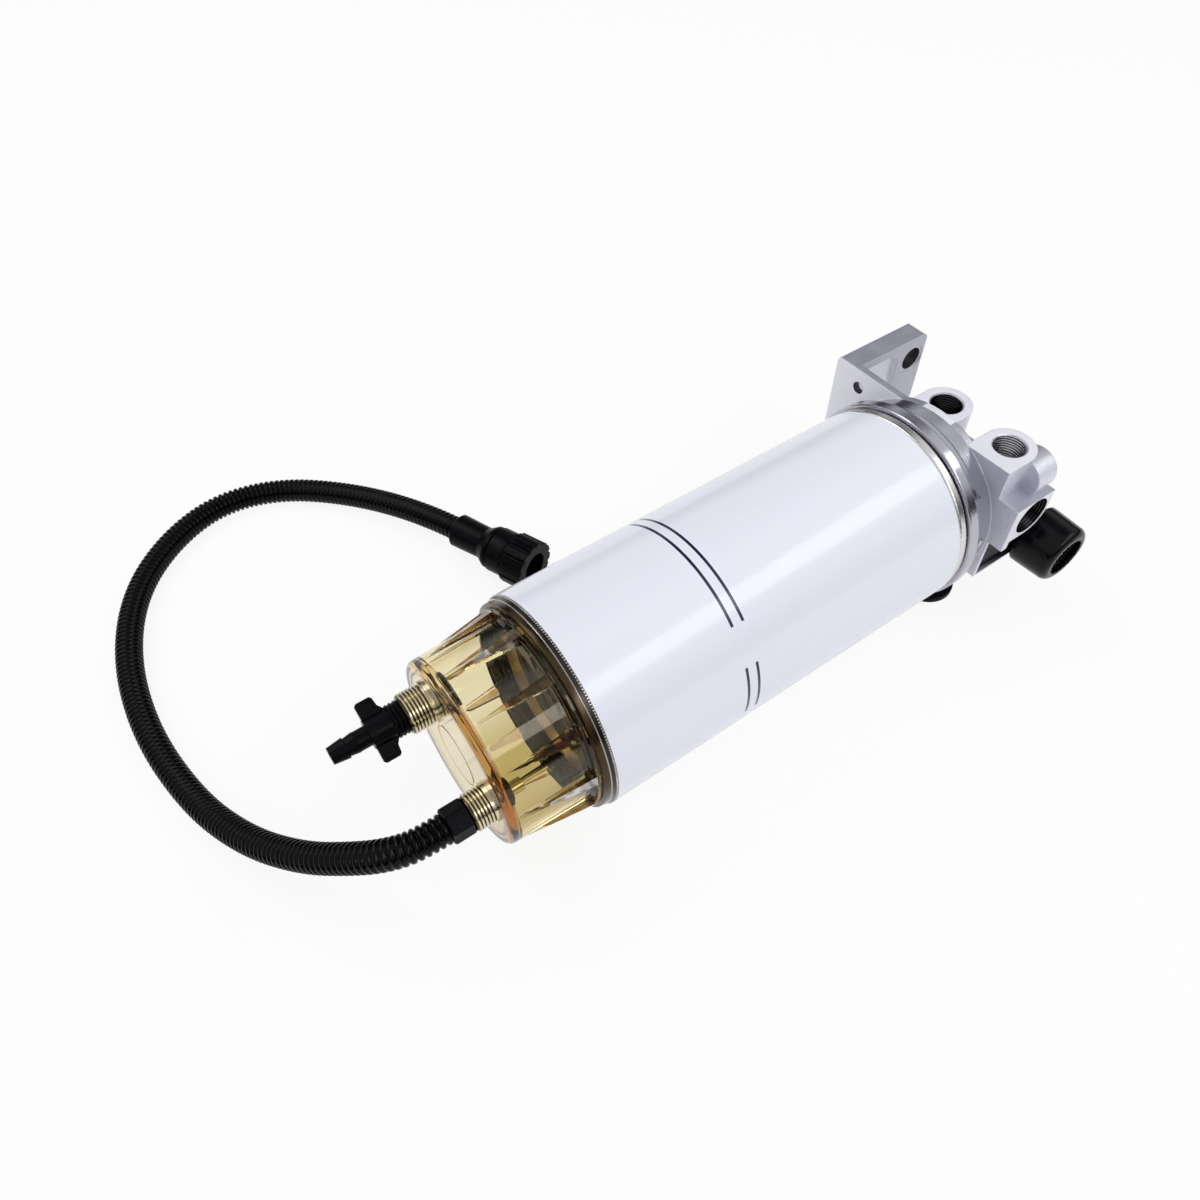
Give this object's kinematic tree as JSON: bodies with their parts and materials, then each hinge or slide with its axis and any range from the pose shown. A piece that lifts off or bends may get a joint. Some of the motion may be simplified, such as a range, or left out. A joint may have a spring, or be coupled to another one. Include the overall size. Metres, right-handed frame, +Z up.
{
  "type": "fuel water separator",
  "caption": "Spin-on fuel filter and water separator with cast head, hand pump, clear amber water bowl, drain valve and a sensor lead with connector.",
  "frame": {"origin": "on the surface that the part lies on, under the middle of the separator without its sensor lead", "axes": "+X along the can from the bowl to the head, -Y toward the pump knob, +Z up, the way the ports face"},
  "size_m": [0.4589, 0.3485, 0.1106],
  "materials": {
    "cast_aluminium": "blasted die casting with machined port faces",
    "plated_steel": "bright zinc plate",
    "dark_steel": "dark gloss coat",
    "spring_steel": "drawn wire",
    "white_enamel": "gloss white enamel with plain blue lines",
    "black_moulding": "moulded satin black",
    "black_knob": "smooth black",
    "black_conduit": "corrugated black",
    "black_rubber": "moulded rubber",
    "filter_paper": "pleated filter paper",
    "amber_plastic": "clear amber moulding",
    "brass_fitting": "turned brass"
  },
  "bodies": {
    "head": {"head_casting": "cast_aluminium", "rear_plug": "plated_steel", "centre_nipple": "plated_steel", "underside_plug": "black_moulding", "underside_seal": "black_rubber", "pump_housing": "black_moulding", "pump_spring": "spring_steel"},
    "pump_plunger": {"pump_knob": "black_knob", "pump_rod": "plated_steel", "pump_piston": "black_moulding", "piston_seal": "black_rubber"},
    "gasket_ring": {"can_gasket": "black_rubber"},
    "filter_can": {"can_shell": "white_enamel", "can_top_plate": "plated_steel", "filter_media": "filter_paper", "centre_tube": "plated_steel", "lower_end_cap": "plated_steel", "upper_end_cap": "plated_steel", "element_grommet": "black_rubber", "element_support": "dark_steel", "can_base_ring": "plated_steel"},
    "bowl_seal_ring": {"bowl_seal": "black_rubber"},
    "water_bowl": {"bowl": "amber_plastic", "drain_boss": "brass_fitting", "drain_inner_nut": "black_moulding", "sensor_boss": "brass_fitting", "sensor_inner_nut": "black_moulding", "sensor_probe": "brass_fitting", "sensor_nut": "black_moulding", "conduit": "black_conduit", "connector_body": "black_moulding", "connector_contacts": "brass_fitting"},
    "drain_seal_ring": {"drain_seal": "black_rubber"},
    "drain_tap": {"drain_valve": "black_moulding"},
    "coupling_collar": {"connector_collar": "black_moulding"}
  },
  "joints": [
    {"name": "pump_stroke", "type": "slide", "parent": "head", "child": "pump_plunger", "axis": [0, -1, 0], "range_m": [0, 0.018], "deforming": ["pump_spring"]},
    {"name": "can_travel", "type": "slide", "parent": "head", "child": "gasket_ring", "axis": [-1, 0, 0], "range_m": [0, 0.0105]},
    {"name": "can_turn", "type": "hinge", "parent": "gasket_ring", "child": "filter_can", "pos_m": [0.00175, 0.00435, 0.0553], "axis": [-1, 0, 0], "range_deg": [0, 2520]},
    {"name": "bowl_travel", "type": "slide", "parent": "filter_can", "child": "bowl_seal_ring", "axis": [-1, 0, 0], "range_m": [0, 0.009]},
    {"name": "bowl_turn", "type": "hinge", "parent": "bowl_seal_ring", "child": "water_bowl", "pos_m": [-0.11825, 0.00435, 0.0553], "axis": [-1, 0, 0], "range_deg": [0, 1080]},
    {"name": "drain_travel", "type": "slide", "parent": "water_bowl", "child": "drain_seal_ring", "axis": [-1, 0, 0], "range_m": [0, 0.0045]},
    {"name": "drain_turn", "type": "hinge", "parent": "drain_seal_ring", "child": "drain_tap", "pos_m": [-0.16825, 0.02175, 0.0763], "axis": [-1, 0, 0], "range_deg": [0, 1080]},
    {"name": "collar_turn", "type": "hinge", "parent": "water_bowl", "child": "coupling_collar", "pos_m": [-0.04592, 0.11444, 0.015], "axis": [0.373, -0.9278, 0], "range_deg": [0, 90]}
  ],
  "couplings": [
    {"joint": "can_travel", "follows": "can_turn", "m_per_rad": 0.00023873},
    {"joint": "bowl_travel", "follows": "bowl_turn", "m_per_rad": 0.00047746},
    {"joint": "drain_travel", "follows": "drain_turn", "m_per_rad": 0.00023873}
  ]
}
